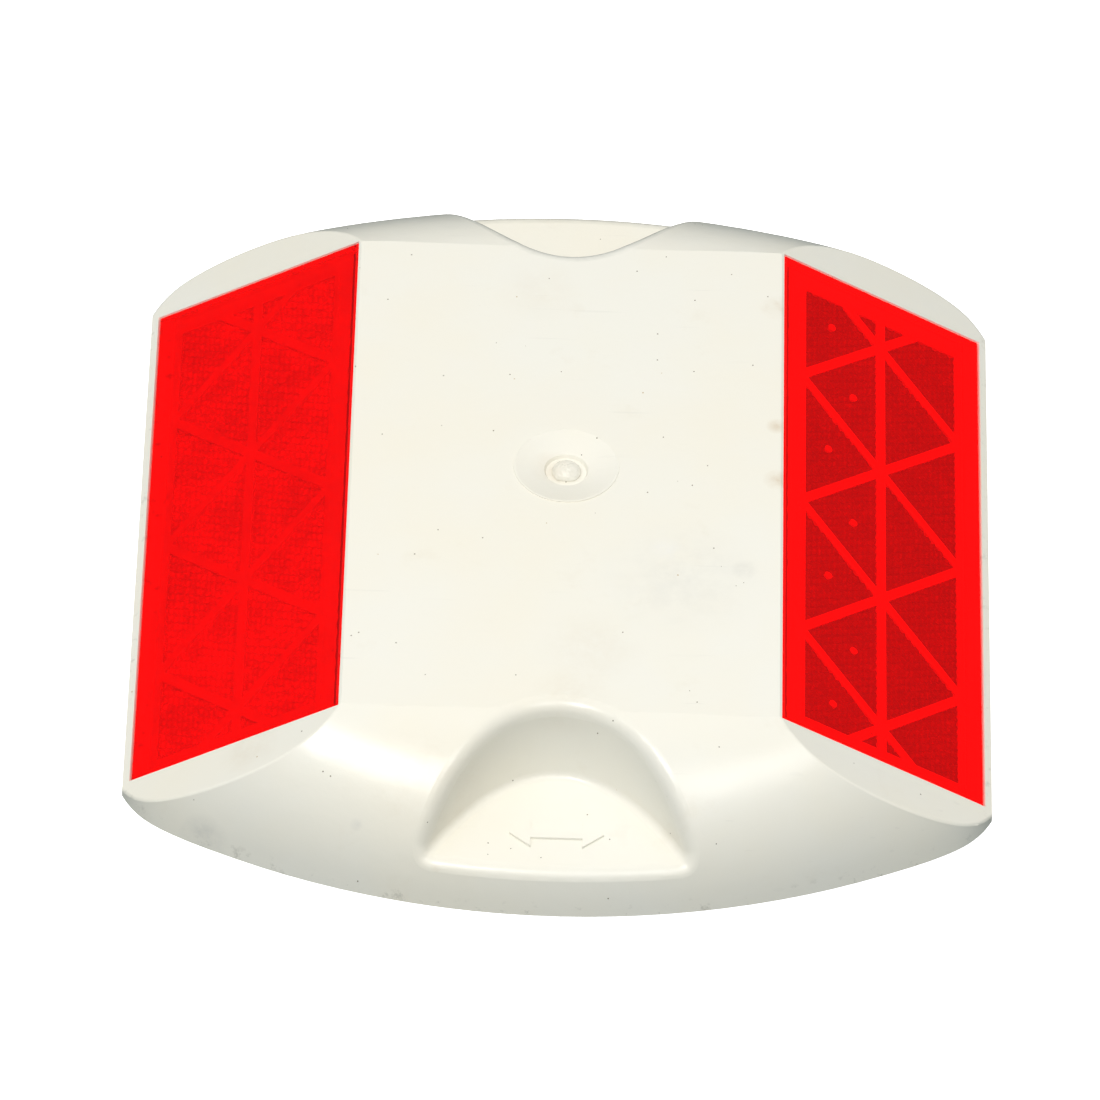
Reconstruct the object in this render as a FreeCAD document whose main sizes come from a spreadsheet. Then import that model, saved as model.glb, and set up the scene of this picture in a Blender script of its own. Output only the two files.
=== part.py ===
"""Raised pavement marker: a low white road stud with a red reflector on each sloping face.

Millimetres.  X runs from lens to lens, Y from finger grip to finger grip, Z is up.
The origin is the centre of the flat base, on the road surface.
"""

import FreeCAD, Part
import math
import os

from FreeCAD import Placement, Rotation, Vector
import Sketcher

DIMENSIONS = {
    # shell, plan
    "width": 88.9,
    "depth": 101.6,
    "height": 13.2,
    "end_radius": 82.0,
    "corner_radius": 10.6,
    "corner_start": 40.0,
    "top_half_width": 22.25,
    "top_half_depth": 34.4,
    "top_edge_fall": 12.0,
    # shell, shoulder profile
    "skirt_height": 1.2,
    "skirt_inset": 0.5,
    "shoulder_angle": 68.0,
    "wall": 2.0,
    # lens faces
    "slope_angle": 29.5,
    "lens_setback": 0.3,
    "lens_length": 69.0,
    "lens_width": 24.4,
    "lens_thickness": 1.6,
    "lens_bevel": 0.25,
    "lens_gap": 0.06,
    # cells behind the lenses
    "cell_depth": 0.6,
    "cell_floor": 1.2,
    "weld_border": 2.8,
    "toe_border": 2.0,
    "rib_width": 1.1,
    "rib_pitch": 18.8,
    "first_node": 6.6,
    "post_diameter": 0.9,
    # finger scoops
    "scoop_floor": 4.35,
    "scoop_back": 35.2,
    "scoop_draft": 1.5,
    "scoop_spread": 15.2,
    "rim_radius": 1.8,
    "floor_radius": 0.8,
    "crest_radius": 0.4,
    "scoop_half_span": 16.5,
    "scoop_overshoot": 1.0,
    # gate mark on the top
    "gate_offset": 1.2,
    "gate_radius": 5.5,
    "gate_rise": 0.1,
    "gate_depth": 0.65,
    "gate_ring_radius": 2.3,
    "gate_nub_radius": 1.5,
    "gate_ring_depth": 0.35,
    "gate_nub_drop": 0.1,
    "gate_lip": 0.2,
    # direction arrow on the near scoop floor
    "arrow_length": 9.6,
    "arrow_width": 3.6,
    "arrow_height": 0.3,
    "arrow_middle": 43.6,
    # underside
    "toe_length": 8.6,
    "toe_floor": 0.45,
    "grit_thickness": 0.6,
    # how far the lofted form reaches past the road surface, before it is trimmed there
    "base_trim": 1.0,
}

# Cross-sections along X, as fractions of the flat top's half width, of the reach from there
# to the start of the corner, and of the corner itself.
MIDDLE_STATIONS = (-1.0, -0.5, 0.0, 0.5, 1.0)
OUTER_STATIONS = (0.33, 0.67, 1.0)
CORNER_STATIONS = (0.5, 0.8, 1.0)
END_CENTRE_Y = "(sheet.depth / 2 - sheet.end_radius)"
CORNER_CENTRE_X = "((sheet.end_radius - sheet.corner_radius) * sheet.corner_start / sheet.end_radius)"
CORNER_CENTRE_Y = (
    f"({END_CENTRE_Y} + (sheet.end_radius - sheet.corner_radius)"
    " * sqrt(1 - (sheet.corner_start / sheet.end_radius)^2))"
)
# The zigzag of ribs turns twice in each pitch: every step is one triangle in each column.
CELL_STEPS = range(-1, 8)
POST_STEPS = range(0, 7)
ORIGIN = (-1, 1)
V_AXIS = -2
NEAR = 0.02
BOOLEAN_TRIES = 3

doc = FreeCAD.newDocument("pavement_marker")


def make_sheet():
    """The driving dimensions, one named cell each."""
    cells = doc.addObject("Spreadsheet::Sheet", "sheet")
    for row, (alias, value) in enumerate(DIMENSIONS.items(), start=1):
        cells.set(f"A{row}", alias)
        cells.set(f"B{row}", str(value))
        cells.setAlias(f"B{row}", alias)
    doc.recompute()
    return cells


def size(alias):
    return float(sheet.get(alias))


def new_body(name):
    body = doc.addObject("PartDesign::Body", name)
    body.Label = name
    return body


def origin_plane(body, role):
    return next(f for f in body.Origin.OriginFeatures if f.Role == role)


def new_sketch(body, role, name):
    sketch = body.newObject("Sketcher::SketchObject", name)
    sketch.AttachmentSupport = (origin_plane(body, role), [""])
    sketch.MapMode = "FlatFace"
    sketch.Visibility = False
    return sketch


def add_polygon(sketch, points):
    """A closed run of lines through (x, y) points; gives the index of its first line."""
    first = len(sketch.Geometry)
    corners = [Vector(x, y, 0) for x, y in points]
    for i, corner in enumerate(corners):
        sketch.addGeometry(Part.LineSegment(corner, corners[(i + 1) % len(corners)]), False)
    for i in range(len(corners)):
        after = (i + 1) % len(corners)
        sketch.addConstraint(Sketcher.Constraint("Coincident", first + i, 2, first + after, 1))
    return first


def bind(sketch, name, constraint, expression):
    """Adds a dimension to a sketch, names it, and ties it to the sheet."""
    index = sketch.addConstraint(constraint)
    sketch.renameConstraint(index, name)
    sketch.setExpression(f"Constraints.{name}", expression)


def feature(body, kind, name, profile):
    made = body.newObject(f"PartDesign::{kind}", name)
    made.Profile = profile
    return made


# ---------------------------------------------------------------- shoulder form


class ShoulderForm:
    """Cross-sections of the low crowned form, and of the same form set in by a wall."""

    def __init__(self, inset):
        self.inset = inset

    def stations(self):
        """Distance from the middle and outline of each cross-section, in order along X."""
        flat = "sheet.top_half_width"
        end = "sheet.corner_start"
        outer = [(f"({flat} + ({end} - {flat}) * {s})", False) for s in OUTER_STATIONS]
        outer += [(f"({end} + (sheet.width / 2 - {end}) * {s})", True) for s in CORNER_STATIONS]
        middle = [(f"({flat} * {s})", False) for s in MIDDLE_STATIONS]
        return [(f"-1 * {x}", corner) for x, corner in reversed(outer)] + middle + outer

    def base_half(self, station, corner):
        """Half the base's depth: on the long end arc, or on the tighter arc at a corner."""
        if corner:
            across = f"(abs({station}) - {CORNER_CENTRE_X})"
            arc = f"{CORNER_CENTRE_Y} + sqrt(sheet.corner_radius^2 - {across}^2)"
        else:
            arc = f"{END_CENTRE_Y} + sqrt(sheet.end_radius^2 - abs({station})^2)"
        return f"({arc} - {self.inset})"

    def top_half(self, station):
        """Half the top's depth: straight over the flat top, then falling away."""
        past = f"max(abs({station}) - sheet.top_half_width; 0)"
        share = f"({past} / (sheet.width / 2 - sheet.top_half_width))"
        return f"(sheet.top_half_depth - sheet.top_edge_fall * {share}^2 - {self.inset} * 0.6)"

    def section(self, body, index, station, corner):
        """One closed section: flat base, leaning skirt, arched shoulder, flat top.

        It reaches a little past the road surface, where a plane trims it.
        """
        sketch = new_sketch(body, "YZ_Plane", f"{body.Name}_section_{index}")
        sketch.setExpression("AttachmentOffset.Base.z", station)
        base = self.base_half(station, corner)
        skirt = f"({base} - sheet.skirt_inset)"
        top = self.top_half(station)
        high = f"(sheet.height - {self.inset})"
        foot = f"({base} + sheet.skirt_inset / sheet.skirt_height * sheet.base_trim)"
        below = "-sheet.base_trim"
        run = f"({skirt} - {top})"
        rise = f"({high} - sheet.skirt_height)"
        chord = f"sqrt({run}^2 + {rise}^2)"
        radius = f"{chord} / (2 * sin(sheet.shoulder_angle * 1 deg - atan({rise} / {run})))"
        values = [evaluate(text) for text in (foot, skirt, top, high, radius)]
        self.draw(sketch, *values)
        dimensions = (
            ("foot_half", "DistanceX", 0, 2, foot),
            ("skirt_half", "DistanceX", 1, 2, skirt),
            ("skirt_high", "DistanceY", 1, 2, "sheet.skirt_height"),
            ("top_half", "DistanceX", 2, 2, top),
            ("top_high", "DistanceY", 2, 2, high),
            ("base_low", "DistanceY", 0, 2, below),
        )
        for name, kind, line, end, expression in dimensions:
            value = evaluate(expression)
            bind(sketch, name, Sketcher.Constraint(kind, *ORIGIN, line, end, value), expression)
        bind(sketch, "shoulder_radius", Sketcher.Constraint("Radius", 2, values[4]), radius)
        return sketch

    def draw(self, sketch, foot, skirt, top, high, radius):
        low = size("skirt_height")
        below = -size("base_trim")
        right = shoulder_arc(Vector(skirt, low, 0), Vector(top, high, 0), radius)
        left = shoulder_arc(Vector(-top, high, 0), Vector(-skirt, low, 0), radius)
        left_foot = Vector(-foot, below, 0)
        right_foot = Vector(foot, below, 0)
        sketch.addGeometry(Part.LineSegment(left_foot, right_foot), False)
        sketch.addGeometry(Part.LineSegment(right_foot, right.StartPoint), False)
        sketch.addGeometry(right, False)
        sketch.addGeometry(Part.LineSegment(right.EndPoint, left.StartPoint), False)
        sketch.addGeometry(left, False)
        sketch.addGeometry(Part.LineSegment(left.EndPoint, left_foot), False)
        for line in range(6):
            sketch.addConstraint(Sketcher.Constraint("Coincident", line, 2, (line + 1) % 6, 1))
        sketch.addConstraint(Sketcher.Constraint("Symmetric", 0, 1, 0, 2, V_AXIS))
        sketch.addConstraint(Sketcher.Constraint("Symmetric", 3, 1, 3, 2, V_AXIS))
        sketch.addConstraint(Sketcher.Constraint("Symmetric", 1, 2, 5, 1, V_AXIS))
        sketch.addConstraint(Sketcher.Constraint("Equal", 2, 4))

    def loft(self, body):
        sections = [
            self.section(body, index, station, corner)
            for index, (station, corner) in enumerate(self.stations())
        ]
        doc.recompute()
        form = feature(body, "AdditiveLoft", f"{body.Name}_form", sections[0])
        form.Sections = sections[1:]
        form.Ruled = False
        doc.recompute()
        return form


def shoulder_arc(start, end, radius):
    """Counter-clockwise arc between two points, bulging away from the middle of the form."""
    middle = (start + end) * 0.5
    along = end - start
    sagitta = radius - math.sqrt(radius**2 - (along.Length / 2) ** 2)
    outward = Vector(along.y, -along.x, 0).normalize()
    return Part.Arc(start, middle + outward * sagitta, end)


def evaluate(expression):
    """The value of a sheet expression, used to draw a sketch close to its solved shape."""
    return float(sheet.evalExpression(expression.replace("sheet.", "")))



# ---------------------------------------------------------------- cuts shared by the forms


def place(sketch, x=None, z=None, angle=None):
    """Moves a sketch off its origin plane by sheet expressions."""
    if x:
        sketch.setExpression("AttachmentOffset.Base.x", x)
    if z:
        sketch.setExpression("AttachmentOffset.Base.z", z)
    if angle:
        sketch.AttachmentOffset = Placement(Vector(), Rotation(Vector(0, 1, 0), 1))
        sketch.setExpression("AttachmentOffset.Rotation.Angle", angle)


def rectangle(sketch, low_x, high_x, half_y):
    """A rectangle symmetric about the sketch's X axis, tied to the sheet."""
    left, right, half = (evaluate(text) for text in (low_x, high_x, half_y))
    points = ((left, -half), (right, -half), (right, half), (left, half))
    first = add_polygon(sketch, points)
    for line, kind in enumerate(("Horizontal", "Vertical", "Horizontal")):
        sketch.addConstraint(Sketcher.Constraint(kind, first + line))
    sketch.addConstraint(Sketcher.Constraint("Symmetric", first, 1, first + 2, 2, -1))
    for name, kind, line, end, text in (
        ("low_x", "DistanceX", 0, 1, low_x),
        ("high_x", "DistanceX", 0, 2, high_x),
        ("half_y", "DistanceY", 2, 1, half_y),
    ):
        bind(sketch, name, Sketcher.Constraint(kind, *ORIGIN, first + line, end, evaluate(text)), text)


def cut(body, name, sketch, length, outward=False):
    """A pocket of a given depth, into the plane or out of it, that must remove something."""
    doc.recompute()
    before = body.Shape.Volume
    pocket = feature(body, "Pocket", name, sketch)
    pocket.setExpression("Length", length)
    pocket.Reversed = outward
    doc.recompute()
    if body.Shape.Volume >= before:
        raise RuntimeError(f"{name} cut nothing")
    return pocket


def trim_below(body, height):
    """Cuts away everything under a level plane."""
    sketch = new_sketch(body, "XY_Plane", f"{body.Name}_trim_outline")
    place(sketch, z=height)
    rectangle(sketch, "-sheet.width", "sheet.width", "sheet.depth")
    return cut(body, f"{body.Name}_trim", sketch, "sheet.height")


def slope_sketch(body, name):
    """A sketch on the right lens face: x runs down the slope from the edge of the top."""
    sketch = new_sketch(body, "XY_Plane", name)
    place(sketch, x="sheet.top_half_width", z="sheet.height", angle="sheet.slope_angle")
    return sketch


def mirror(body, name, role, features):
    """Repeats features on the other side of one of the body's origin planes."""
    mirrored = body.newObject("PartDesign::Mirrored", name)
    mirrored.Originals = features
    mirrored.MirrorPlane = (origin_plane(body, role), [""])
    body.Tip = mirrored
    doc.recompute()
    return mirrored


def parabola(sketch, vertex, spread):
    """A parabola open towards -Y with its closing chord: y = -(vertex + x * x / spread)."""
    half = size("scoop_half_span")
    end = -(vertex + half**2 / spread)
    middle = -(vertex - half**2 / spread)
    curve = Part.BSplineCurve()
    poles = [Vector(-half, end, 0), Vector(0, middle, 0), Vector(half, end, 0)]
    curve.buildFromPolesMultsKnots(poles, [3, 3], [0.0, 1.0], False, 2)
    sketch.addGeometry(curve, False)
    sketch.addGeometry(Part.LineSegment(poles[2], poles[0]), False)


def scoop(body, wall):
    """The finger scoop on the near side: a level floor under a leaning curved wall."""
    inset = evaluate(wall)
    drop = size("height") - size("scoop_floor")
    lean = size("scoop_draft") / drop
    above = size("scoop_overshoot")
    back = size("scoop_back") - inset
    spread = size("scoop_spread") + inset
    low = new_sketch(body, "XY_Plane", f"{body.Name}_scoop_low")
    place(low, z=f"sheet.scoop_floor - {wall}")
    parabola(low, back, spread)
    top = new_sketch(body, "XY_Plane", f"{body.Name}_scoop_top")
    place(top, z=f"sheet.height + sheet.scoop_overshoot - {wall}")
    parabola(top, back - lean * (drop + above), spread)
    doc.recompute()
    made = feature(body, "SubtractiveLoft", f"{body.Name}_scoop", low)
    made.Sections = [top]
    made.Ruled = True
    doc.recompute()
    return made


# ---------------------------------------------------------------- lens seat and its cells


def clip(polygon, start, end):
    """The part of a convex polygon on the left of the line from start to end."""
    along = end - start

    def side(point):
        return along.x * (point.y - start.y) - along.y * (point.x - start.x)

    kept = []
    for i, point in enumerate(polygon):
        following = polygon[(i + 1) % len(polygon)]
        here, there = side(point), side(following)
        if here >= 0:
            kept.append(point)
        if here * there < 0:
            kept.append(point + (following - point) * (here / (here - there)))
    return kept


def inset_triangle(panel, corners):
    """A triangular cell: the panel, clipped half a rib inside each side of the triangle."""
    cell = panel
    for i, start in enumerate(corners):
        end = corners[(i + 1) % 3]
        along = (end - start).normalize()
        inward = Vector(-along.y, along.x, 0) * (size("rib_width") / 2)
        cell = clip(cell, start + inward, end + inward)
    return cell


def lens_cells():
    """Outlines of the triangular cells behind a lens, and where their posts stand."""
    border = size("weld_border")
    low = size("lens_setback") + border
    high = size("lens_setback") + size("lens_width") - size("toe_border")
    middle = (low + high) / 2
    half = size("lens_length") / 2
    reach = half - border
    pitch = size("rib_pitch")
    panel = [Vector(low, -reach), Vector(high, -reach), Vector(high, reach), Vector(low, reach)]
    cells = []
    posts = []
    for step in CELL_STEPS:
        node = half - size("first_node") - pitch * step / 2
        on_rib = step % 2 == 0
        for edge, turn in ((low, 1), (high, -1)):
            base, tip = (edge, middle) if on_rib else (middle, edge)
            run = turn if on_rib else -turn
            corners = [
                Vector(base, node + run * pitch / 2),
                Vector(base, node - run * pitch / 2),
                Vector(tip, node),
            ]
            cell = inset_triangle(panel, corners)
            if len(cell) < 3:
                continue
            cells.append(cell)
            centre = sum(cell, Vector()) * (1 / len(cell))
            if edge == low and step in POST_STEPS:
                posts.append(centre)
    return cells, posts


def lens_slope(body, depth):
    """Cuts away everything above a plane that far straight under the right lens face."""
    sketch = slope_sketch(body, f"{body.Name}_slope_outline")
    rectangle(sketch, "-sheet.height", "sheet.width / 2", "sheet.depth")
    sketch.setExpression("AttachmentOffset.Base.z", f"sheet.height - {depth}")
    return cut(body, f"{body.Name}_slope", sketch, "sheet.height", outward=True)


def lens_recess(body):
    """The shallow seat that takes the right lens."""
    outline = slope_sketch(body, "recess_outline")
    end = "(sheet.lens_setback + sheet.lens_width)"
    rectangle(outline, "sheet.lens_setback", end, "sheet.lens_length / 2")
    return cut(body, "recess", outline, "sheet.lens_thickness")


def toe_floor(body):
    """The thin strip of shell left under the low edge of the right lens."""
    strip = new_sketch(body, "XY_Plane", "toe_floor_outline")
    rectangle(strip, "sheet.width / 2 - sheet.toe_length", "sheet.width / 2", "sheet.lens_length / 2")
    pad = feature(body, "Pad", "toe_floor", strip)
    pad.setExpression("Length", "sheet.toe_floor")
    doc.recompute()
    return pad


def cell_pockets(body):
    """The air cells behind the right lens: triangles between ribs, with posts in one column."""
    sketch = slope_sketch(body, "cell_outlines")
    cells, posts = lens_cells()
    for cell in cells:
        add_polygon(sketch, [(point.x, point.y) for point in cell])
    for post in posts:
        circle = Part.Circle(post, Vector(0, 0, 1), size("post_diameter") / 2)
        sketch.addGeometry(circle, False)
    return cut(body, "cells", sketch, "sheet.lens_thickness + sheet.cell_depth")


# ---------------------------------------------------------------- rounded edges of a scoop


def points_along(edge):
    """Nine points spread along an edge."""
    first, last = edge.ParameterRange
    return [edge.valueAt(first + (last - first) * step / 8) for step in range(9)]


def on_scoop_wall(point):
    """Whether a point lies on the leaning curved wall of either scoop."""
    floor = size("scoop_floor")
    lean = size("scoop_draft") / (size("height") - floor)
    wall = size("scoop_back") - lean * (point.z - floor) + point.x**2 / size("scoop_spread")
    return abs(abs(point.y) - wall) < NEAR


def on_floor(point):
    return abs(point.z - size("scoop_floor")) < NEAR


def is_rim(edge):
    points = points_along(edge)
    above = max(point.z for point in points) > size("scoop_floor") + 1
    return above and all(on_scoop_wall(point) for point in points)


def is_floor_back(edge):
    return all(on_floor(point) and on_scoop_wall(point) for point in points_along(edge))


def is_crest(edge):
    """The crest where a sloping lens face meets the arched shoulder."""
    beside_lens = size("top_half_depth") - 1
    return all(
        abs(slope_height(abs(point.x)) - point.z) < NEAR and abs(point.y) > beside_lens
        for point in points_along(edge)
    )


def slope_height(x):
    past = x - size("top_half_width")
    return size("height") - past * math.tan(math.radians(size("slope_angle")))


def round_edges(body, name, wanted, radius):
    """Rounds the edges that a test picks out of the body as it stands."""
    base = body.Tip
    names = [f"Edge{i}" for i, edge in enumerate(base.Shape.Edges, start=1) if wanted(edge)]
    rounded = body.newObject("PartDesign::Fillet", name)
    rounded.Base = (base, names)
    rounded.setExpression("Radius", radius)
    doc.recompute()
    return rounded


# ---------------------------------------------------------------- marks moulded in the shell


def gate_mark(body):
    """The low disc, its dish, ring and broken-off nub left where the shell was injected."""
    outline = new_sketch(body, "XY_Plane", "gate_outline")
    place(outline, z="sheet.height")
    middle = Vector(0, size("gate_offset"), 0)
    outline.addGeometry(Part.Circle(middle, Vector(0, 0, 1), size("gate_radius")), False)
    disc = feature(body, "Pad", "gate_disc", outline)
    disc.setExpression("Length", "sheet.gate_rise")
    top = size("height")
    face = top + size("gate_rise")
    dish = top - size("gate_depth")
    ring = dish - size("gate_ring_depth")
    nub = top - size("gate_nub_drop")
    radius = size("gate_radius")
    lip = size("gate_lip")
    profile = (
        (0, nub),
        (size("gate_nub_radius") * 0.6, nub - lip),
        (size("gate_nub_radius"), ring),
        (size("gate_ring_radius") - lip, ring),
        (size("gate_ring_radius"), dish),
        (radius - lip, face),
        (radius - lip, face + lip),
        (0, face + lip),
    )
    sketch = new_sketch(body, "XZ_Plane", "gate_profile")
    place(sketch, z="-1 * sheet.gate_offset")
    add_polygon(sketch, profile)
    doc.recompute()
    before = body.Shape.Volume
    mark = feature(body, "Groove", "gate_mark", sketch)
    mark.ReferenceAxis = (sketch, ["V_Axis"])
    mark.Angle = 360
    doc.recompute()
    if body.Shape.Volume >= before:
        raise RuntimeError("the gate mark cut nothing")


def direction_arrow(body):
    """A plain raised two-way arrow on the near scoop's floor, pointing at the lenses."""
    half = size("arrow_length") / 2
    head = size("arrow_width") / 2
    shaft = head / 3
    neck = half - head * 1.2
    right = [(neck, -shaft), (neck, -head), (half, 0), (neck, head), (neck, shaft)]
    left = [(-x, -y) for x, y in right]
    middle = -size("arrow_middle")
    sketch = new_sketch(body, "XY_Plane", "arrow_outline")
    place(sketch, z="sheet.scoop_floor")
    add_polygon(sketch, [(x, y + middle) for x, y in right + left])
    arrow = feature(body, "Pad", "direction_arrow", sketch)
    arrow.setExpression("Length", "sheet.arrow_height")
    doc.recompute()
    return arrow


# ---------------------------------------------------------------- pieces


def outer_form():
    """The shell's outside, solid."""
    body = new_body("outer_form")
    ShoulderForm("0").loft(body)
    trim_below(body, "0")
    slope = lens_slope(body, "0")
    mirror(body, "left_slope", "YZ_Plane", [slope])
    hollow = scoop(body, "0")
    mirror(body, "far_scoop", "XZ_Plane", [hollow])
    # each scoop's back edge is rounded before its rim, which runs down to the same corners
    round_edges(body, "scoop_backs", is_floor_back, "sheet.floor_radius")
    round_edges(body, "scoop_rims", is_rim, "sheet.rim_radius")
    round_edges(body, "crests", is_crest, "sheet.crest_radius")
    recess = lens_recess(body)
    cells = cell_pockets(body)
    strip = toe_floor(body)
    mirror(body, "left_seat", "YZ_Plane", [recess, cells, strip])
    gate_mark(body)
    direction_arrow(body)
    return body


def cavity_form():
    """The hollow inside the shell, open at the base: what the filling takes up."""
    body = new_body("cavity_form")
    ShoulderForm("sheet.wall").loft(body)
    trim_below(body, "0")
    seat = "(sheet.lens_thickness + sheet.cell_depth + sheet.cell_floor)"
    slope = lens_slope(body, f"{seat} / cos(sheet.slope_angle * 1 deg)")
    toe = new_sketch(body, "XY_Plane", "toe_outline")
    rectangle(toe, "sheet.width / 2 - sheet.toe_length", "sheet.width", "sheet.depth")
    end = cut(body, "toe", toe, "sheet.height", outward=True)
    mirror(body, "left_end", "YZ_Plane", [slope, end])
    hollow = scoop(body, "sheet.wall")
    mirror(body, "far_hollow", "XZ_Plane", [hollow])
    return body


def boolean(kind, name, base, tool):
    """A named piece made from two solids. A cut that fails once is worked out again."""
    piece = doc.addObject(f"Part::{kind}", name)
    piece.Label = name
    piece.Base = base
    piece.Tool = tool
    for _ in range(BOOLEAN_TRIES):
        doc.recompute()
        if piece.isValid():
            break
        piece.touch()
    return piece


def grit_slab():
    """A slab as thick as the grit layer, wider than the base."""
    slab = doc.addObject("Part::Box", "grit_slab")
    slab.setExpression("Length", "sheet.width")
    slab.setExpression("Width", "sheet.depth")
    slab.setExpression("Height", "sheet.grit_thickness")
    slab.setExpression("Placement.Base.x", "-sheet.width / 2")
    slab.setExpression("Placement.Base.y", "-sheet.depth / 2")
    doc.recompute()
    return slab


def lens(name, turn):
    """A flat reflector plate with bevelled front edges, turned to face its own way."""
    body = new_body(name)
    outline = slope_sketch(body, f"{name}_outline")
    gap = "sheet.lens_gap"
    inner = f"(sheet.lens_setback + {gap})"
    outer = f"(sheet.lens_setback + sheet.lens_width - {gap})"
    rectangle(outline, inner, outer, f"sheet.lens_length / 2 - {gap}")
    plate = feature(body, "Pad", f"{name}_plate", outline)
    plate.setExpression("Length", "sheet.lens_thickness")
    plate.Reversed = True
    doc.recompute()
    bevel = body.newObject("PartDesign::Chamfer", f"{name}_bevel")
    front = [
        f"Edge{i}"
        for i, edge in enumerate(plate.Shape.Edges, start=1)
        if all(abs(slope_height(p.x) - p.z) < NEAR for p in points_along(edge))
    ]
    bevel.Base = (plate, front)
    bevel.setExpression("Size", "sheet.lens_bevel")
    doc.recompute()
    trim_below(body, f"sheet.toe_floor + {gap}")
    body.Placement = Placement(Vector(), Rotation(Vector(0, 0, 1), turn))
    doc.recompute()
    return body


def check(pieces):
    """Stops if any feature failed or any piece has no sound solid."""
    for item in doc.Objects:
        if "Invalid" in item.State or "Error" in item.State:
            raise RuntimeError(f"{item.Name} failed: {item.State}")
    for piece in pieces:
        if piece.Shape.isNull() or not piece.Shape.isValid() or piece.Shape.Volume <= 0:
            raise RuntimeError(f"{piece.Label} has no sound shape")
        print(f"{piece.Label}: {piece.Shape.Volume:.0f} mm3, {len(piece.Shape.Solids)} solid")


def write(pieces):
    os.makedirs("parts", exist_ok=True)
    for piece in pieces:
        piece.Shape.exportStep(f"parts/{piece.Label}.step")


sheet = make_sheet()
shell_outside = outer_form()
shell_inside = cavity_form()
slab = grit_slab()
PIECES = [
    boolean("Cut", "housing", shell_outside, shell_inside),
    boolean("Cut", "potting_fill", shell_inside, slab),
    boolean("Common", "base_grit", shell_inside, slab),
    lens("right_lens", 0),
    lens("left_lens", 180),
]
doc.recompute()
check(PIECES)
write(PIECES)
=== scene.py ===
import math
import random

import bpy
from mathutils import Matrix, Vector
from mathutils.noise import noise


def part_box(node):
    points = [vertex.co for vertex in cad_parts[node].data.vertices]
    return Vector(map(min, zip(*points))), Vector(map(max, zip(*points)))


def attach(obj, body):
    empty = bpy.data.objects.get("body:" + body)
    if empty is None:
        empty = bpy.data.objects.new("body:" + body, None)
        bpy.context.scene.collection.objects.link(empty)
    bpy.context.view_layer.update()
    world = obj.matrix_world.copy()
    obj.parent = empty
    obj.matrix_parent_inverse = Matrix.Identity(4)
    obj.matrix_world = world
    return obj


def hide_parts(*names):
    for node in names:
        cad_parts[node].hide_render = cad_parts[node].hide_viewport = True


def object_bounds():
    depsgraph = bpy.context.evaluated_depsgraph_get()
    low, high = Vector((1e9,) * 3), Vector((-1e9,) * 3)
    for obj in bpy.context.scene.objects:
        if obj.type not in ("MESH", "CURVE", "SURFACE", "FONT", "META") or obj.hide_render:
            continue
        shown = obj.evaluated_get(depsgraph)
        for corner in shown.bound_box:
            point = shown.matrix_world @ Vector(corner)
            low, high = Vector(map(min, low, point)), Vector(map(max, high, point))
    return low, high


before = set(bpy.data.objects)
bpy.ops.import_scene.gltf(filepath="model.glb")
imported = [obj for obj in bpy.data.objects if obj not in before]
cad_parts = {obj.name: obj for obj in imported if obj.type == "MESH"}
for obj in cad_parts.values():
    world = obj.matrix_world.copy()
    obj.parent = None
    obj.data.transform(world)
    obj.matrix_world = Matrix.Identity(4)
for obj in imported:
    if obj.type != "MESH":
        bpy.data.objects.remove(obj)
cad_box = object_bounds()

MM = 0.001

# The camera stands in front of the near end, looking down on the marker.
CAMERA_HEADING = math.radians(0.29)
CAMERA_DROP = math.radians(44.51)
CAMERA_ROLL = math.radians(1.92)
CAMERA_DISTANCE = 1.154
CAMERA_SENSOR = 36.0
CAMERA_LENS = 363.2
VIEW_MIDDLE_HEIGHT = 7 * MM
VIEW_SHIFT_RIGHT = -1.53 * MM
VIEW_SHIFT_UP = -3.51 * MM

# The reflector faces fall away to the right and left at this angle.
SLOPE = math.radians(29.5)
LENS_THICKNESS = 1.6 * MM
LENS_BEVEL = 0.25 * MM
BACK_GAP = 0.1 * MM
PANEL_START = 2.75 * MM
PANEL_END = 22.35 * MM
PANEL_HALF_LENGTH = 31.7 * MM

PRISM_PITCH = 0.36 * MM
PRISM_STEP = 0.40 * PRISM_PITCH
PRISM_CLEARANCE = 0.08 * MM
PRISM_BACKING = 0.04 * MM

# Tuned for how the red looks under the lamps below, side by side, and not measured from any
# plastic. The real faces are alike, so other lamps need other values: the glow of both lenses is
# painted light, and the pale left prisms and dark right prisms are painted light and painted shade
# on one material.
LENS_IOR = 1.28
LENS_SPECULAR = 0.3
RIGHT_PAINTED_GLOW = 0.17
LEFT_PAINTED_GLOW = 0.09
RIGHT_TINT = (1.0, 0.0, 0.0)
LEFT_TINT = (1.0, 0.001, 0.001)
RIGHT_PRISMS_PAINTED_SHADE = (0.24, 0.21, 0.21)
LEFT_PRISMS_PAINTED_LIGHT = (0.86, 0.84, 0.84)
GROOVE_SHADE = (0.34, 0.30, 0.28)

TOP = 13.2 * MM

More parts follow.
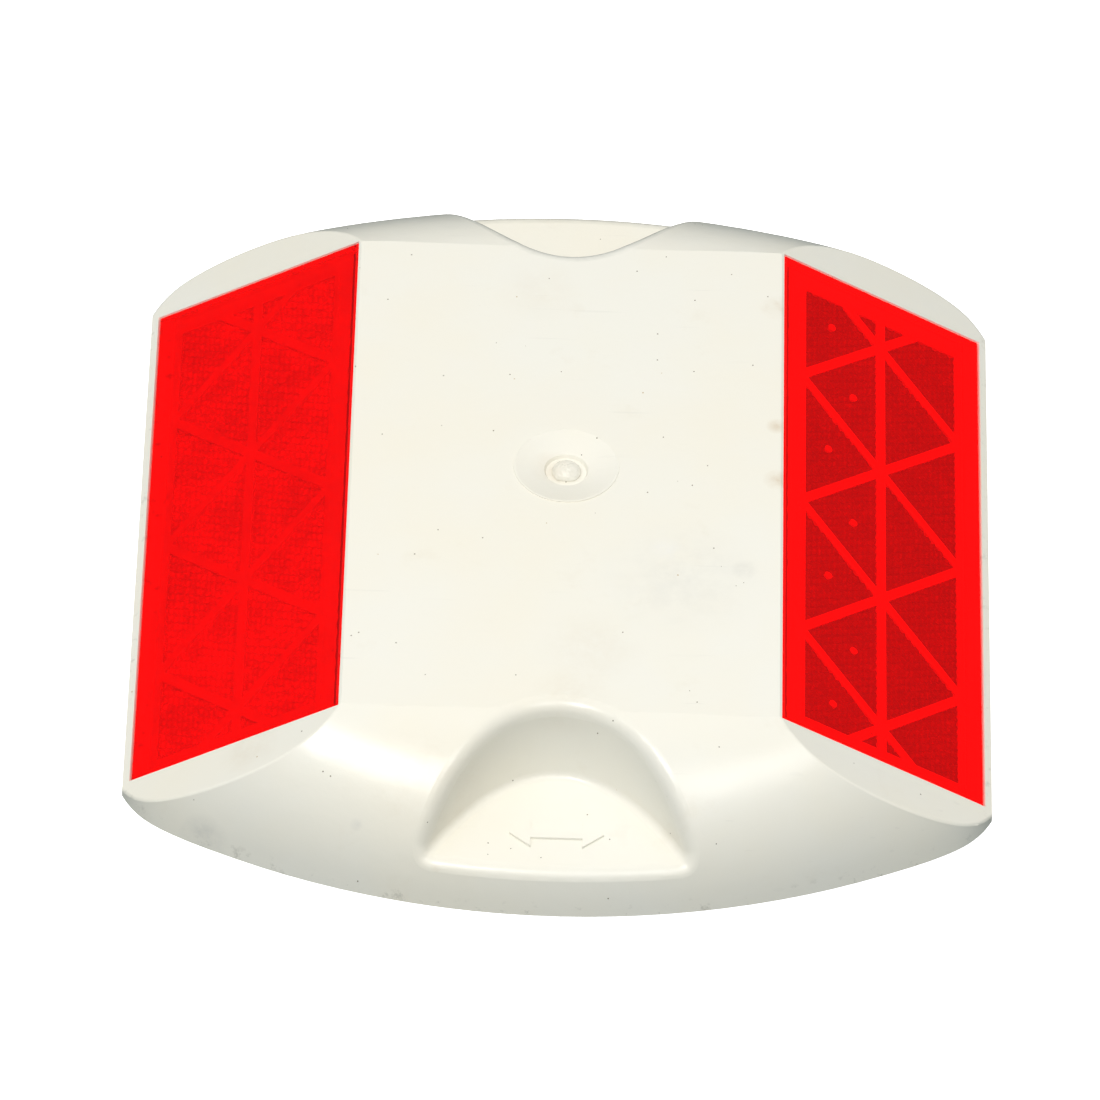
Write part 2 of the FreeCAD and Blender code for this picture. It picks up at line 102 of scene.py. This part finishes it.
# Worn and dirty places on the shell: centre, solid radius, faded radius, strength, colour.
BROWN = (0.62, 0.47, 0.30)
GREY = (0.55, 0.55, 0.53)
PALE = (0.97, 0.97, 0.97)
SHELL_MARKS = (
    ((18.6 * MM, -13.4 * MM, TOP), 0.6 * MM, 1.5 * MM, 0.22, GREY),
    ((10.4 * MM, -10.8 * MM, TOP), 0.5 * MM, 2.0 * MM, 0.35, PALE),
    ((12.0 * MM, -15.0 * MM, TOP), 1.0 * MM, 9.0 * MM, 0.16, GREY),
    ((3.0 * MM, -25.5 * MM, TOP), 0.5 * MM, 6.0 * MM, 0.12, BROWN),
    ((1.0 * MM, -32.5 * MM, TOP), 0.2 * MM, 4.5 * MM, 0.14, BROWN),
    ((-3.3 * MM, 27.6 * MM, TOP), 1.0 * MM, 5.0 * MM, 0.08, BROWN),
    ((-1.5 * MM, 1.2 * MM, 12.6 * MM), 0.5 * MM, 2.6 * MM, 0.25, BROWN),
    ((-12.2 * MM, -48.6 * MM, 4.2 * MM), 0.2 * MM, 0.9 * MM, 0.8, BROWN),
    ((-13.0 * MM, -40.0 * MM, 8.0 * MM), 1.0 * MM, 7.0 * MM, 0.14, BROWN),
    ((-31.0 * MM, -36.0 * MM, 7.0 * MM), 0.5 * MM, 4.0 * MM, 0.20, BROWN),
    ((-20.2 * MM, -44.4 * MM, 6.0 * MM), 0.1 * MM, 0.9 * MM, 0.5, GREY),
    ((-36.1 * MM, -42.7 * MM, 1.0 * MM), 0.5 * MM, 3.0 * MM, 0.5, GREY),
    ((21.8 * MM, 8.0 * MM, TOP), 0.1 * MM, 1.2 * MM, 0.5, BROWN),
    ((21.8 * MM, 26.0 * MM, TOP), 0.2 * MM, 2.0 * MM, 0.4, BROWN),
    ((21.9 * MM, 0.0 * MM, TOP), 0.1 * MM, 1.6 * MM, 0.5, BROWN),
)

SAND_DEPTH = 0.22 * MM
SAND_GRAINS = 5200
GATE_OFFSET = 1.2 * MM
GATE_STUB_RADIUS = 1.55 * MM
EDGE_GRAINS = 420

# Soft boxes: name, compass angle, height angle, distance, size, watts, colour.
WARM_WHITE = (1.0, 0.985, 0.95)
COOL_WHITE = (0.95, 0.98, 1.0)
LAMPS = (
    ("key", -145, 65, 0.8, 0.24, 1.75, WARM_WHITE),
    ("right_fill", 150, 62, 0.9, 0.24, 0.7, WARM_WHITE),
    ("left_edge", -105, 14, 0.8, 0.16, 0.25, COOL_WHITE),
    ("front", 180, 62, 1.0, 0.6, 1.4, WARM_WHITE),
)


# ---------------------------------------------------------------- helpers

def mesh_piece(name, points, faces, body="root", smooth=False):
    """A new mesh object that rides on the marker."""
    mesh = bpy.data.meshes.new(name)
    mesh.from_pydata(points, [], faces)
    mesh.validate()
    mesh.update()
    for face in mesh.polygons:
        face.use_smooth = smooth
    piece = bpy.data.objects.new(name, mesh)
    bpy.context.scene.collection.objects.link(piece)
    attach(piece, body)
    return piece


def paint(piece, material):
    """Gives a piece one material, in place of any it came with."""
    if not piece.material_slots:
        piece.data.materials.append(material)
    for held in piece.material_slots:
        held.material = material


class Look:
    """A node material being built round one Principled shader."""

    def __init__(self, name, **uniform):
        self.material = bpy.data.materials.new(name)
        self.material.use_nodes = True
        self.tree = self.material.node_tree
        self.shader = self.tree.nodes["Principled BSDF"]
        for socket, value in uniform.items():
            self.shader.inputs[socket.replace("_", " ")].default_value = value
        self.place = self.node("ShaderNodeTexCoord").outputs["Object"]

    def node(self, kind, **settings):
        made = self.tree.nodes.new(kind)
        for name, value in settings.items():
            setattr(made, name, value)
        return made

    def join(self, source, target):
        self.tree.links.new(source, target)

    def noise(self, per_metre, detail=4.0, roughness=0.55, stretch=None):
        """Soft cloudy pattern, about 0.5 on average."""
        texture = self.node("ShaderNodeTexNoise")
        texture.inputs["Scale"].default_value = per_metre
        texture.inputs["Detail"].default_value = detail
        texture.inputs["Roughness"].default_value = roughness
        self.join(self.stretched(stretch), texture.inputs["Vector"])
        return texture.outputs["Fac"]

    def stretched(self, stretch):
        """The place on the object, stretched and turned so that a pattern runs in lines."""
        if stretch is None:
            return self.place
        mapping = self.node("ShaderNodeMapping")
        mapping.inputs["Scale"].default_value = stretch[0]
        mapping.inputs["Rotation"].default_value = stretch[1]
        self.join(self.place, mapping.inputs["Vector"])
        return mapping.outputs["Vector"]

    def specks(self, per_metre, size, share):
        """1 in small round specks, of which only a share of the possible ones are there."""
        cells = self.node("ShaderNodeTexVoronoi")
        cells.inputs["Scale"].default_value = per_metre
        self.join(self.place, cells.inputs["Vector"])
        near = self.math("LESS_THAN", cells.outputs["Distance"], size)
        split = self.node("ShaderNodeSeparateColor")
        self.join(cells.outputs["Color"], split.inputs["Color"])
        chosen = self.math("LESS_THAN", split.outputs["Red"], share)
        return self.math("MULTIPLY", near, chosen)

    def math(self, operation, a, b):
        made = self.node("ShaderNodeMath", operation=operation)
        for socket, value in zip(made.inputs, (a, b)):
            if isinstance(value, (int, float)):
                socket.default_value = value
            else:
                self.join(value, socket)
        return made.outputs["Value"]

    def ramp(self, source, low, high, to_low=0.0, to_high=1.0):
        """Goes from to_low to to_high as source goes from low to high, and no further."""
        made = self.node("ShaderNodeMapRange", clamp=True)
        made.inputs["From Min"].default_value = low
        made.inputs["From Max"].default_value = high
        made.inputs["To Min"].default_value = to_low
        made.inputs["To Max"].default_value = to_high
        self.join(source, made.inputs["Value"])
        return made.outputs["Result"]

    def axis(self, which):
        split = self.node("ShaderNodeSeparateXYZ")
        self.join(self.place, split.inputs["Vector"])
        return split.outputs[which]

    def around(self, centre, inner, outer):
        """1 within inner of a point, fading to 0 at outer."""
        gap = self.node("ShaderNodeVectorMath", operation="DISTANCE")
        self.join(self.place, gap.inputs[0])
        gap.inputs[1].default_value = centre
        return self.ramp(gap.outputs["Value"], inner, outer, 1.0, 0.0)

    def mix(self, amount, under, over):
        """Colour under with colour over laid on it by amount."""
        made = self.node("ShaderNodeMix", data_type="RGBA")
        self.join(amount, made.inputs["Factor"])
        for socket, colour in ((made.inputs[6], under), (made.inputs[7], over)):
            if isinstance(colour, tuple):
                socket.default_value = (*colour, 1.0)
            else:
                self.join(colour, socket)
        return made.outputs[2]

    def colour(self, source):
        self.join(source, self.shader.inputs["Base Color"])

    def roughness(self, source):
        self.join(source, self.shader.inputs["Roughness"])

    def bump(self, height, distance, strength=1.0):
        made = self.node("ShaderNodeBump")
        made.inputs["Distance"].default_value = distance
        made.inputs["Strength"].default_value = strength
        self.join(height, made.inputs["Height"])
        self.join(made.outputs["Normal"], self.shader.inputs["Normal"])


# ---------------------------------------------------------------- materials

def shell_plastic():
    """Cream white moulded plastic, handled and lightly soiled."""
    look = Look("shell_plastic", IOR=1.5, Specular_IOR_Level=0.5)
    cream = (0.93, 0.895, 0.79)
    cooler = (0.92, 0.905, 0.835)
    stain = (0.62, 0.50, 0.33)
    grey = (0.55, 0.55, 0.52)
    soot = (0.20, 0.17, 0.12)
    tone = look.mix(look.ramp(look.noise(45), 0.35, 0.65), cream, cooler)
    tone = look.mix(look.ramp(look.noise(130, 7.0, 0.65), 0.60, 0.80, 0.0, 0.14), tone, stain)
    tone = look.mix(scratches(look, 0.5, 0.10), tone, grey)
    for centre, inner, outer, strength, colour in SHELL_MARKS:
        patch = look.around(centre, inner, outer)
        broken = look.ramp(look.noise(420, 6.0, 0.7), 0.38, 0.62, 0.25, 1.0)
        amount = look.math("MULTIPLY", look.math("MULTIPLY", patch, broken), strength)
        tone = look.mix(amount, tone, colour)
    tone = look.mix(look.specks(1300, 0.10, 0.035), tone, soot)
    tone = look.mix(look.specks(520, 0.05, 0.10), tone, stain)
    low = look.ramp(look.axis("Z"), 0.3 * MM, 1.6 * MM, 1.0, 0.0)
    caught = look.ramp(look.noise(700, 6.0, 0.7), 0.58, 0.68, 0.0, 0.45)
    tone = look.mix(look.math("MULTIPLY", low, caught), tone, (0.33, 0.32, 0.27))
    look.colour(tone)
    look.roughness(look.ramp(look.noise(240, 5.0), 0.3, 0.7, 0.20, 0.27))
    look.bump(look.noise(700, 5.0, 0.6), 0.02 * MM)
    return look.material


def scratches(look, turn, amount):
    """Broken fine lines, all running one way."""
    line = look.noise(1500, 2.0, 0.4, ((0.05, 1.0, 1.0), (0.0, 0.0, turn)))
    worn = look.ramp(look.noise(60, 3.0), 0.5, 0.62)
    return look.math("MULTIPLY", look.ramp(line, 0.70, 0.74, 0.0, amount), worn)


def red_lens(name, tint, painted_glow):
    """Clear red acrylic with a faint painted glow, and fine scuffs on its polished face."""
    look = Look(name, Transmission_Weight=1.0, IOR=LENS_IOR, Specular_IOR_Level=LENS_SPECULAR)
    # The red emission is painted light: the lens glows though it is no lamp.
    look.shader.inputs["Emission Color"].default_value = (1.0, 0.0, 0.0, 1.0)
    look.shader.inputs["Emission Strength"].default_value = painted_glow
    cloudy = look.ramp(look.noise(90, 3.0), 0.35, 0.65)
    darker = tuple(0.95 * part for part in tint)
    look.colour(look.mix(cloudy, tint, darker))
    look.roughness(look.ramp(look.noise(500, 6.0), 0.45, 0.75, 0.02, 0.12))
    look.bump(look.noise(1400, 3.0), 0.004 * MM)
    return look.material


def prism_backing(name, bright):
    """The facets of the cube corners behind the face. The colour given is painted light on the left
    sheet, and painted shade on the right sheet and the weld groove.
    """
    look = Look(name, IOR=1.49)
    dull = tuple(0.86 * part for part in bright)
    look.colour(look.mix(look.ramp(look.noise(220, 3.0), 0.4, 0.6), bright, dull))
    look.roughness(look.ramp(look.noise(700), 0.3, 0.7, 0.25, 0.45))
    return look.material


def weld_flash():
    """Squeezed-out specks of bright plastic along the weld."""
    look = Look("weld_flash", IOR=1.5)
    tone = look.mix(look.ramp(look.noise(1200), 0.4, 0.6), (0.95, 0.93, 0.90), (0.85, 0.75, 0.70))
    look.colour(tone)
    look.roughness(look.ramp(look.noise(1500), 0.3, 0.7, 0.3, 0.5))
    return look.material


def potting():
    """Filled grey epoxy with pale filler and fine pores."""
    look = Look("potting", IOR=1.5)
    tone = look.mix(look.ramp(look.noise(350, 6.0), 0.35, 0.65), (0.44, 0.43, 0.40), (0.58, 0.56, 0.52))
    tone = look.mix(look.specks(700, 0.2, 0.2), tone, (0.25, 0.24, 0.22))
    look.colour(tone)
    look.roughness(look.ramp(look.noise(500), 0.3, 0.7, 0.55, 0.8))
    look.bump(look.noise(800, 6.0), 0.08 * MM)
    return look.material


def sand(name):
    """Tan silica sand, each grain a slightly different colour."""
    look = Look(name, IOR=1.54)
    grains = look.node("ShaderNodeTexVoronoi")
    grains.inputs["Scale"].default_value = 1500
    look.join(look.place, grains.inputs["Vector"])
    split = look.node("ShaderNodeSeparateColor")
    look.join(grains.outputs["Color"], split.inputs["Color"])
    tone = look.mix(split.outputs["Green"], (0.52, 0.44, 0.33), (0.74, 0.68, 0.57))
    tone = look.mix(look.ramp(split.outputs["Red"], 0.86, 0.9), tone, (0.22, 0.17, 0.13))
    look.colour(tone)
    look.roughness(look.ramp(look.noise(900), 0.3, 0.7, 0.45, 0.85))
    look.bump(look.noise(3000, 4.0), 0.06 * MM)
    return look.material


def floor_paper():
    """Plain white paper that stays white all round the marker."""
    look = Look("floor_paper", IOR=1.3)
    look.colour(look.mix(look.noise(3), (0.93, 0.93, 0.93), (0.95, 0.95, 0.95)))
    look.roughness(look.ramp(look.noise(40), 0.3, 0.7, 0.85, 0.95))
    look.shader.inputs["Emission Color"].default_value = (1.0, 1.0, 1.0, 1.0)
    look.shader.inputs["Emission Strength"].default_value = 0.9
    return look.material


# ---------------------------------------------------------------- reflector insides

def slope_point(side, down, along, depth):
    """A point by its distance down the reflector face, along it, and below it."""
    low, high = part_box("right_lens")
    edge_x = low[0] + LENS_THICKNESS * math.sin(SLOPE)
    edge_z = high[2] + LENS_BEVEL * math.sin(SLOPE)
    x = edge_x + down * math.cos(SLOPE) - depth * math.sin(SLOPE)
    z = edge_z - down * math.sin(SLOPE) - depth * math.cos(SLOPE)
    return (side * x, along, z)


def reflector(name, side, slot, material):
    """The lens plate, a little thinner than its seat is deep, so that light gets between them."""
    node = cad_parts[slot_node(slot)]
    plate = node.copy()
    plate.data = node.data.copy()
    plate.name = name
    bpy.context.scene.collection.objects.link(plate)
    normal = Vector((side * math.sin(SLOPE), 0.0, math.cos(SLOPE)))
    face_point = Vector(slope_point(side, 0.0, 0.0, 0.0))
    for vertex in plate.data.vertices:
        depth = (face_point - vertex.co).dot(normal)
        if depth > LENS_THICKNESS - BACK_GAP:
            vertex.co += normal * (depth - LENS_THICKNESS + BACK_GAP)
    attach(plate, "root")
    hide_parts(node.name)
    paint(plate, material)
    return plate


def slot_node(slot):
    """The CAD node of a lens slot: lens_right is right_lens, and lens_left is left_lens."""
    return "right_lens" if slot == "lens_right" else "left_lens"


def prism_sheet(side, name, material):
    """A plate of cube corners: lattice points in three heights make the facets of stacked cubes."""
    column = PRISM_PITCH * math.sqrt(3) / 2
    columns = int((PANEL_END - PANEL_START) / column)
    rows = int(2 * PANEL_HALF_LENGTH / PRISM_PITCH)
    top_depth = LENS_THICKNESS + PRISM_CLEARANCE
    points = []
    for i in range(columns + 1):
        for j in range(rows + 1):
            along = (j + (i % 2) / 2) * PRISM_PITCH - PANEL_HALF_LENGTH
            height_class = (j + (i // 2) * 2 + (i % 2) * 2) % 3
            depth = top_depth + height_class * PRISM_STEP
            points.append(slope_point(side, PANEL_START + i * column, along, depth))
    faces = []
    stride = rows + 1
    for i in range(columns):
        for j in range(rows):
            a, b = i * stride + j, i * stride + j + 1
            c, d = a + stride, b + stride
            if i % 2 == 0:
                faces += [(a, c, b), (b, c, d)]
            else:
                faces += [(a, c, d), (a, d, b)]
    close_sheet(points, faces, columns, rows, side, top_depth)
    if side < 0:
        faces = [tuple(reversed(face)) for face in faces]
    piece = mesh_piece(name, points, faces)
    paint(piece, material)
    return piece


def close_sheet(points, faces, columns, rows, side, top_depth):
    """Adds a flat back and sides, so that the sheet is a closed plate."""
    stride = rows + 1
    rim = [i * stride for i in range(columns + 1)]
    rim += [columns * stride + j for j in range(1, rows + 1)]
    rim += [i * stride + rows for i in range(columns - 1, -1, -1)]
    rim += [j for j in range(rows - 1, 0, -1)]
    back_depth = top_depth + 2 * PRISM_STEP + PRISM_BACKING
    normal = Vector((side * math.sin(SLOPE), 0.0, math.cos(SLOPE)))
    face_point = Vector(slope_point(side, 0.0, 0.0, 0.0))
    back = []
    for index in rim:
        point = Vector(points[index])
        depth = (face_point - point).dot(normal)
        back.append(len(points))
        points.append(tuple(point - normal * (back_depth - depth)))
    count = len(rim)
    for k in range(count):
        nxt = (k + 1) % count
        faces.append((rim[nxt], rim[k], back[k], back[nxt]))
    faces.append(tuple(back))


def pebble(points, faces, centre, radius, rng, flat=1.0):
    """Adds one irregular twenty-sided grain."""
    turn = Matrix.Rotation(rng.uniform(0, math.tau), 3, Vector((rng.random(), rng.random(), 1.0)))
    first = len(points)
    for corner in GRAIN_CORNERS:
        spread = Vector(corner).normalized() * radius * rng.uniform(0.78, 1.0)
        spread = turn @ spread
        points.append((centre[0] + spread.x, centre[1] + spread.y, centre[2] + spread.z * flat))
    faces += [tuple(first + index for index in face) for face in GRAIN_FACES]


def grain_corners():
    """The twelve corners of a regular twenty-sided grain, with edges 2 long."""
    ratio = (1 + math.sqrt(5)) / 2
    corners = []
    for a in (-1, 1):
        for b in (-ratio, ratio):
            corners += [(0, a, b), (a, b, 0), (b, 0, a)]
    return corners


def grain_faces():
    """The twenty triangles of the grain's corners, facing outwards."""
    corners = [Vector(corner) for corner in GRAIN_CORNERS]
    found = []
    for i in range(12):
        for j in range(i + 1, 12):
            for k in range(j + 1, 12):
                sides = [(corners[i] - corners[j]).length, (corners[j] - corners[k]).length,
                         (corners[k] - corners[i]).length]
                if max(sides) > LONGEST_GRAIN_EDGE:
                    continue
                outward = (corners[j] - corners[i]).cross(corners[k] - corners[i])
                middle = corners[i] + corners[j] + corners[k]
                found.append((i, j, k) if outward.dot(middle) > 0 else (i, k, j))
    return found


LONGEST_GRAIN_EDGE = 2.01
GRAIN_CORNERS = grain_corners()
GRAIN_FACES = grain_faces()


def weld_specks(side, name, material):
    """Tiny beads of squeezed plastic along both sides of the inner weld, seen through the face."""
    rng = random.Random(11 if side > 0 else 12)
    points, faces = [], []
    depth = LENS_THICKNESS - 0.03 * MM
    for line, largest in ((PANEL_START - 0.1 * MM, 0.13), (0.45 * MM, 0.10)):
        place = -PANEL_HALF_LENGTH
        while place < PANEL_HALF_LENGTH:
            radius = rng.uniform(0.04, largest) * MM
            down = line + rng.uniform(-0.08, 0.08) * MM
            pebble(points, faces, slope_point(side, down, place, depth), radius, rng, 0.5)
            place += rng.choice((0.2, 0.3, 0.5, 1.2)) * MM
    piece = mesh_piece(name, points, faces)
    paint(piece, material)
    return piece


def weld_groove(side, name, material):
    """The darker uneven strip along the top edge of the face, where the weld stops short: a dark sheet
    that paints the shade in that groove.
    """
    points, faces = [], []
    top = LENS_THICKNESS - 0.06 * MM
    bottom = LENS_THICKNESS - 0.01 * MM
    count = 160
    for step in range(count + 1):
        along = PANEL_HALF_LENGTH * 1.07 * (2 * step / count - 1)
        wave = noise(Vector((along * 900, side * 3.0, 0.0)))
        inner = 0.10 * MM
        outer = 1.05 * MM + 0.12 * MM * wave
        for down, depth in ((inner, top), (outer, top), (outer, bottom), (inner, bottom)):
            points.append(slope_point(side, down, along, depth))
    for step in range(count):
        a, b = 4 * step, 4 * step + 4
        for k in range(4):
            following = (k + 1) % 4
            faces.append((a + k, a + following, b + following, b + k))
    faces.append((3, 2, 1, 0))
    faces.append(tuple(4 * count + k for k in range(4)))
    piece = mesh_piece(name, points, faces)
    paint(piece, material)
    return piece


# ---------------------------------------------------------------- underside

def inside(outline, x, y):
    """True if the point is within the closed outline."""
    crossed = False
    for (ax, ay), (bx, by) in zip(outline, outline[1:] + outline[:1]):
        if (ay > y) != (by > y) and x < ax + (y - ay) / (by - ay) * (bx - ax):
            crossed = not crossed
    return crossed


def base_outline():
    """The base's outline as points in order round the middle."""
    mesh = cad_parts["base_grit"].data
    low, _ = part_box("base_grit")
    floor_points = {}
    for vertex in mesh.vertices:
        if vertex.co.z < low[2] + 0.01 * MM:
            turn = math.atan2(vertex.co.y, vertex.co.x)
            step = round(turn, 2)
            far = math.hypot(vertex.co.x, vertex.co.y)
            if far > floor_points.get(step, (0, 0, 0))[0]:
                floor_points[step] = (far, vertex.co.x, vertex.co.y)
    return [floor_points[step][1:] for step in sorted(floor_points)]


def sand_base(material):
    """The sanded underside: a raised bed with grains that reach down to the road."""
    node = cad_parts["base_grit"]
    bed = node.copy()
    bed.data = node.data.copy()
    bed.name = "sand_bed"
    bpy.context.scene.collection.objects.link(bed)
    low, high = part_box("base_grit")
    for vertex in bed.data.vertices:
        if vertex.co.z < low[2] + SAND_DEPTH:
            vertex.co.z = low[2] + SAND_DEPTH
    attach(bed, "root")
    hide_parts("base_grit")
    paint(bed, material)
    outline = base_outline()
    rng = random.Random(5)
    points, faces = [], []
    placed = 0
    while placed < SAND_GRAINS:
        x = rng.uniform(low[0], high[0])
        y = rng.uniform(low[1], high[1])
        if not inside(outline, x * 1.012, y * 1.012):
            continue
        radius = rng.uniform(0.22, 0.46) * MM
        centre = (x, y, low[2] + radius + rng.uniform(0.0, 0.12) * MM)
        pebble(points, faces, centre, radius, rng)
        placed += 1
    grains = mesh_piece("sand_grains", points, faces)
    paint(grains, material)


def edge_grains(material):
    """Sand caught under the foot of the shell, thickest at the near left corner."""
    outline = base_outline()
    rng = random.Random(8)
    points, faces = [], []
    for _ in range(EDGE_GRAINS):
        index = rng.randrange(len(outline))
        x, y = outline[index]
        near_left = x < -0.02 and y < -0.02
        if not near_left and rng.random() < 0.8:
            continue
        shrink = rng.uniform(0.996, 1.001)
        radius = rng.uniform(0.05, 0.13) * MM
        centre = (x * shrink, y * shrink, radius + rng.uniform(0.0, 0.45 if near_left else 0.1) * MM)
        pebble(points, faces, centre, radius, rng)
    piece = mesh_piece("edge_grains", points, faces)
    paint(piece, material)


# ---------------------------------------------------------------- gate stub

def gate_stub(material):
    """The rough stub left where the moulding sprue was broken off."""
    _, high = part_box("housing")
    top = high[2] - 0.02 * MM
    rings, around = 7, 20
    points = [(0.0, GATE_OFFSET, top - 0.05 * MM)]
    for ring in range(1, rings + 1):
        share = ring / rings
        for step in range(around):
            turn = math.tau * step / around
            spot = Vector((math.cos(turn) * share * 2.2, math.sin(turn) * share * 2.2, 3.7))
            uneven = noise(spot)
            ragged = noise(spot * 2.7)
            spread = GATE_STUB_RADIUS * share * (1 + 0.10 * uneven)
            fall = 0.75 * MM * share**3 + 0.20 * MM * (0.5 + 0.5 * uneven) + 0.12 * MM * abs(ragged)
            x = spread * math.cos(turn)
            y = GATE_OFFSET + spread * math.sin(turn)
            points.append((x, y, top - fall))
    faces = [(0, 1 + s, 1 + (s + 1) % around) for s in range(around)]
    for ring in range(rings - 1):
        a, b = 1 + ring * around, 1 + (ring + 1) * around
        for s in range(around):
            t = (s + 1) % around
            faces.append((a + s, b + s, b + t, a + t))
    last = 1 + (rings - 1) * around
    faces.append(tuple(last + s for s in reversed(range(around))))
    piece = mesh_piece("gate_stub", points, faces)
    paint(piece, material)


# ---------------------------------------------------------------- stage

def floor(material):
    """A wide plain sheet under the marker."""
    reach = 1.5
    steps = 6
    points, faces = [], []
    for i in range(steps + 1):
        for j in range(steps + 1):
            x = reach * (2 * i / steps - 1)
            y = reach * (2 * j / steps - 1)
            points.append((x, y, cad_box[0][2] - 0.02 * MM))
    for i in range(steps):
        for j in range(steps):
            a = i * (steps + 1) + j
            faces.append((a, a + steps + 1, a + steps + 2, a + 1))
    mesh = bpy.data.meshes.new("floor")
    mesh.from_pydata(points, [], faces)
    sheet = bpy.data.objects.new("floor", mesh)
    bpy.context.scene.collection.objects.link(sheet)
    paint(sheet, material)
    sheet.visible_diffuse = False
    sheet.visible_glossy = False


def soft_light(name, azimuth, elevation, distance, size, power, colour):
    """A square soft box at a compass angle from +Y and a height, aimed at the marker."""
    data = bpy.data.lights.new(name, "AREA")
    data.shape = "SQUARE"
    data.size = size
    data.energy = power
    data.color = colour
    lamp = bpy.data.objects.new(name, data)
    a, e = math.radians(azimuth), math.radians(elevation)
    lamp.location = Vector((math.sin(a) * math.cos(e), math.cos(a) * math.cos(e), math.sin(e))) * distance
    lamp.rotation_mode = "QUATERNION"
    lamp.rotation_quaternion = (-lamp.location).to_track_quat("-Z", "Y")
    bpy.context.scene.collection.objects.link(lamp)


def surroundings():
    """Even light from all round, cooler and dimmer from below."""
    world = bpy.data.worlds.new("studio")
    world.use_nodes = True
    tree = world.node_tree
    background = tree.nodes["Background"]
    coordinates = tree.nodes.new("ShaderNodeTexCoord")
    split = tree.nodes.new("ShaderNodeSeparateXYZ")
    blend = tree.nodes.new("ShaderNodeMapRange")
    blend.inputs["From Min"].default_value = 0.25
    blend.inputs["From Max"].default_value = 0.85
    mix = tree.nodes.new("ShaderNodeMix")
    mix.data_type = "RGBA"
    mix.inputs[6].default_value = (0.05, 0.10, 0.12, 1.0)
    mix.inputs[7].default_value = (*WARM_WHITE, 1.0)
    tree.links.new(coordinates.outputs["Generated"], split.inputs["Vector"])
    tree.links.new(split.outputs["Z"], blend.inputs["Value"])
    tree.links.new(blend.outputs["Result"], mix.inputs["Factor"])
    tree.links.new(mix.outputs[2], background.inputs["Color"])
    background.inputs["Strength"].default_value = 0.85
    bpy.context.scene.world = world


def camera():
    """Looks down on the near end, slightly rolled, as a still life camera on a stand."""
    forward = Vector((
        math.sin(CAMERA_HEADING) * math.cos(CAMERA_DROP),
        math.cos(CAMERA_HEADING) * math.cos(CAMERA_DROP),
        -math.sin(CAMERA_DROP),
    ))
    level = Vector((math.cos(CAMERA_HEADING), -math.sin(CAMERA_HEADING), 0.0))
    upright = level.cross(forward)
    right = level * math.cos(CAMERA_ROLL) + upright * math.sin(CAMERA_ROLL)
    up = upright * math.cos(CAMERA_ROLL) - level * math.sin(CAMERA_ROLL)
    middle = Vector((0.0, 0.0, VIEW_MIDDLE_HEIGHT)) + right * VIEW_SHIFT_RIGHT + up * VIEW_SHIFT_UP
    data = bpy.data.cameras.new("camera")
    data.sensor_width = CAMERA_SENSOR
    data.lens = CAMERA_LENS
    data.clip_end = 10.0
    stand = bpy.data.objects.new("camera", data)
    place = middle - forward * CAMERA_DISTANCE
    turn = Matrix((right, up, -forward)).transposed().to_4x4()
    stand.matrix_world = Matrix.Translation(place) @ turn
    bpy.context.scene.collection.objects.link(stand)
    bpy.context.scene.camera = stand


# ---------------------------------------------------------------- the scene

shell = shell_plastic()
paint(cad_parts["housing"], shell)
paint(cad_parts["potting_fill"], potting())
gate_stub(shell)

# Both lenses glow with painted light, the right lens more than the left.
reflector("right_reflector", 1, "lens_right", red_lens("lens_right", RIGHT_TINT, RIGHT_PAINTED_GLOW))
reflector("left_reflector", -1, "lens_left", red_lens("lens_left", LEFT_TINT, LEFT_PAINTED_GLOW))
# The right prism sheet is painted shade and the left one painted light: lit and shaded copies of one
# backing.
prism_sheet(1, "right_prisms", prism_backing("prisms_right", RIGHT_PRISMS_PAINTED_SHADE))
prism_sheet(-1, "left_prisms", prism_backing("prisms_left", LEFT_PRISMS_PAINTED_LIGHT))
flash = weld_flash()
weld_specks(1, "right_weld_specks", flash)
weld_specks(-1, "left_weld_specks", flash)

shade = prism_backing("weld_groove", GROOVE_SHADE)
weld_groove(1, "right_weld_groove", shade)
weld_groove(-1, "left_weld_groove", shade)

grit = sand("grit")
sand_base(grit)
edge_grains(grit)

floor(floor_paper())
surroundings()
for lamp in LAMPS:
    soft_light(*lamp)
camera()

bpy.context.scene.view_settings.view_transform = "Standard"
